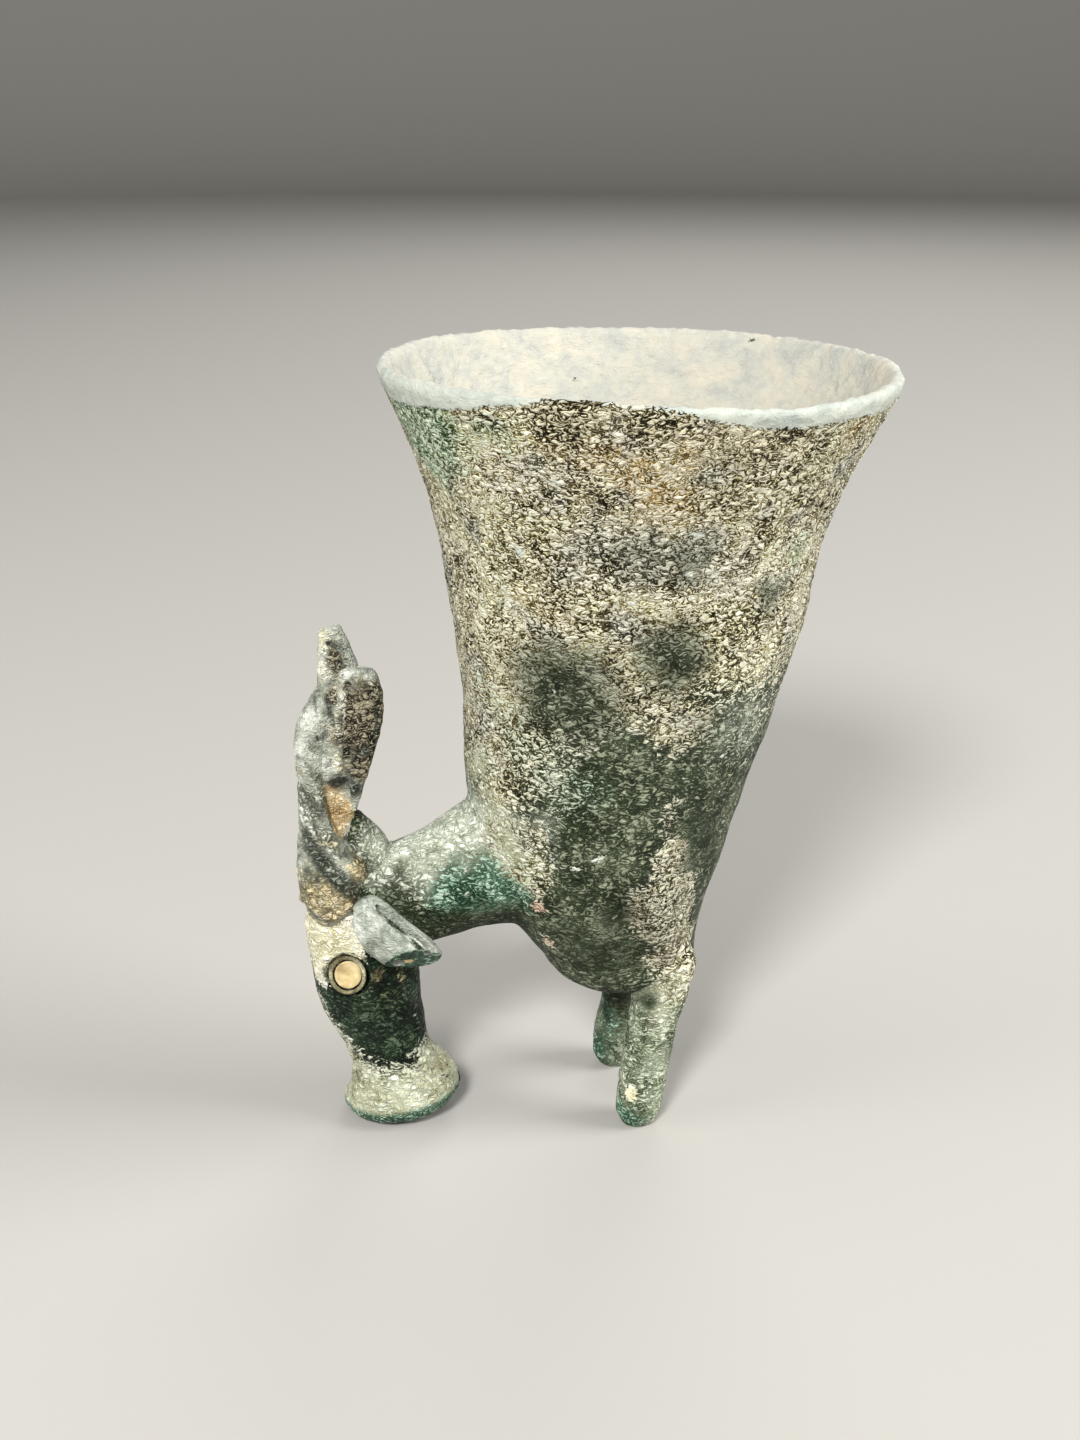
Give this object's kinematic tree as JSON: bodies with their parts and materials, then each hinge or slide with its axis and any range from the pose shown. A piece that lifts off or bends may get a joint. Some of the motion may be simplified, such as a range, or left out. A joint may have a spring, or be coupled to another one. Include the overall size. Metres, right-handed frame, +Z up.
{
  "type": "bronze rhyton",
  "caption": "Small bronze pouring cup: a flared beaker on the chest, neck and lowered head of a horned animal, standing on its muzzle and forelegs.",
  "frame": {"origin": "middle of the base of the object's box, on the surface it stands on", "axes": "+Z up towards the mouth, -X the way the head looks, -Y the animal's left side, which the picture shows"},
  "size_m": [0.074, 0.0622, 0.0981],
  "materials": {
    "crusted_bronze": "rough earthy corrosion crust",
    "green_bronze": "dark green patina",
    "pale_bronze": "pale grey-green worn patina",
    "solder": "dull grey solder",
    "inlay": "matt tan paste"
  },
  "bodies": {
    "root": {"beaker": "crusted_bronze", "protome_body": "green_bronze", "seam_solder": "solder", "head": "green_bronze", "neck_solder": "solder", "muzzle_lip": "pale_bronze", "left_foreleg": "pale_bronze", "right_foreleg": "pale_bronze", "left_ear": "pale_bronze", "right_ear": "pale_bronze", "left_horn": "pale_bronze", "right_horn": "pale_bronze", "left_eye_ring": "pale_bronze", "right_eye_ring": "pale_bronze", "left_eye_inlay": "inlay", "right_eye_inlay": "inlay"}
  },
  "joints": []
}
